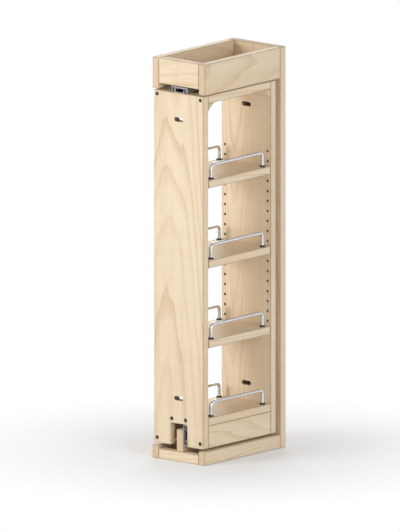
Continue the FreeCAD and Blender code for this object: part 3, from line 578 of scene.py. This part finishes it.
def plated(name, base, roughness_range, stretch, relief_depth, sheared=False):
    """Bright metal with faint streaks and soft smudges, and torn ends where it was sheared to length."""
    shader = Shader(name, Metallic=1.0)
    streak = shader.noise(shader.mapped(shader.place(), scale=stretch), UNSCALED, detail=4.0, rough=0.6)
    smudge = shader.noise(shader.place(), scale=34.0, detail=3.0, distortion=0.6)
    colour = shader.mix(shader.span(streak, low=0.3, high=0.72), base, scaled(base, STREAK_DARKNESS))
    roughness = shader.plus(shader.span(streak, 0.3, 0.7, *roughness_range),
                            shader.span(smudge, 0.45, 0.75, 0.0, SMUDGE_ROUGHNESS))
    if sheared:
        # a sheared end has lost most of its plating, so it is darker and duller than the faces
        facing = shader.parts(shader.normal())["Y"]
        end = shader.span(shader.maths("ABSOLUTE", facing), low=0.80, high=0.95)
        torn = shader.noise(shader.place(), scale=1500.0, detail=3.0, rough=0.6)
        bare = shader.mix(shader.span(torn, low=0.35, high=0.65), TORN_STEEL, TORN_STEEL_DARK)
        colour = shader.mix(shader.times(end, TORN_SHARE), colour, bare)
        roughness = shader.plus(roughness, shader.times(end, TORN_ROUGHNESS))
    return shader.finish(colour, roughness, shader.bump(streak, relief_depth, strength=0.5))


def chrome():
    """Chromed wire with a little haze and fine scratches."""
    shader = Shader("chrome_wire", Metallic=1.0)
    haze = shader.noise(shader.place(), scale=60.0, detail=4.0, rough=0.6, distortion=0.8)
    scratch = shader.noise(shader.mapped(shader.place(), scale=ALONG_WIRE), UNSCALED, detail=3.0, rough=0.7)
    colour = shader.mix(shader.span(haze, low=0.35, high=0.75), CHROME, CHROME_HAZE)
    roughness = shader.plus(shader.span(haze, 0.4, 0.8, *CHROME_ROUGHNESS),
                            shader.span(scratch, 0.6, 0.8, 0.0, SCRATCH_ROUGHNESS))
    return shader.finish(colour, roughness, shader.bump(scratch, distance=0.00001, strength=0.3))


def moulded(name, base):
    """Fine matt moulded plastic."""
    shader = Shader(name, Specular_IOR_Level=MOULDED_SPECULAR)
    grain = shader.noise(shader.place(), scale=2600.0, detail=2.0, rough=0.6)
    patch = shader.noise(shader.place(), scale=90.0, detail=3.0)
    colour = shader.mix(shader.span(patch, low=0.35, high=0.7), base, scaled(base, MOULDED_PALER))
    roughness = shader.span(patch, 0.3, 0.7, *MOULDED_ROUGHNESS)
    return shader.finish(colour, roughness, shader.bump(grain, distance=0.00004, strength=0.6))


def oxide():
    """Black oxide on screws, worn to bare steel in places."""
    shader = Shader("black_oxide", Metallic=1.0)
    worn = shader.noise(shader.place(), scale=420.0, detail=4.0, rough=0.65)
    colour = shader.streaked(OXIDE_BLACK, WORN_OXIDE, worn, low=0.56, high=0.72)
    roughness = shader.span(worn, 0.3, 0.7, *OXIDE_ROUGHNESS)
    return shader.finish(colour, roughness, shader.bump(worn, distance=0.00003, strength=0.4))


# Which finish each CAD node takes

GRAIN = {
    "rear_board": "Z", "front_panel": "Z", "back_panel": "Z",
    "top_side_board_left": "Y", "top_side_board_right": "Y",
    "base_side_board_left": "Y", "base_side_board_right": "Y",
    "top_front_crosspiece": "X", "base_front_crosspiece": "X",
    "top_slide_board": "Y", "bottom_slide_rail": "Y", "top_rail": "Y",
    "corner_block_front": "X", "corner_block_rear": "X",
    "skirt_left": "Y", "skirt_right": "Y", "slide_spacer": "Y",
    "bottom_shelf": "Y", "lower_shelf": "Y", "middle_shelf": "Y", "upper_shelf": "Y",
}
TONES = (1.0, 0.975, 1.02, 0.985, 1.01)
# Panels whose holes and slots take painted shade
WITH_HOLLOW_SHADE = ("front_panel", "back_panel")

# The first of these words in a node's name gives its finish. The slides' members have none and are zinc
FINISH_BY_WORD = {
    "screws": "oxide",
    "ferrules": "ferrule",
    "bumpers": "ferrule",
    "release_lever": "lever",
    "pins": "nickel",
    "balls": "ball",
    "cage": "cage",
    "shelf_rail": "chrome",
}


def finish_for(node):
    for word, finish in FINISH_BY_WORD.items():
        if word in node:
            return finish
    return "zinc"


def dress_nodes():
    finishes = {
        "oxide": oxide(),
        "ferrule": moulded("ferrule_plastic", FERRULE_BLACK),
        "lever": moulded("lever_plastic", LEVER_BLACK),
        "nickel": plated("nickel_plate", NICKEL, (0.18, 0.28), FINE, 0.00001),
        "ball": plated("polished_ball_steel", BALL_STEEL, (0.06, 0.12), FINEST, 0.000004),
        "cage": plated("rolled_cage_steel", CAGE_STEEL, (0.26, 0.38), ALONG_SLIDE, 0.00001, sheared=True),
        "chrome": chrome(),
        "zinc": plated("bright_zinc", ZINC, (0.20, 0.34), ALONG_SLIDE, 0.000015, sheared=True),
    }
    for number, (name, node) in enumerate(sorted(NODES.items())):
        if name in GRAIN:
            tone = TONES[number % len(TONES)]
            material = maple(f"maple_{name}", GRAIN[name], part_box(name), number, tone, name in WITH_HOLLOW_SHADE)
        else:
            material = finishes[finish_for(name)]
        node.data.materials.clear()
        node.data.materials.append(material)


add_camera()
add_room()
add_floor()
add_lamps()
dress_nodes()

bpy.context.scene.view_settings.view_transform = "Standard"
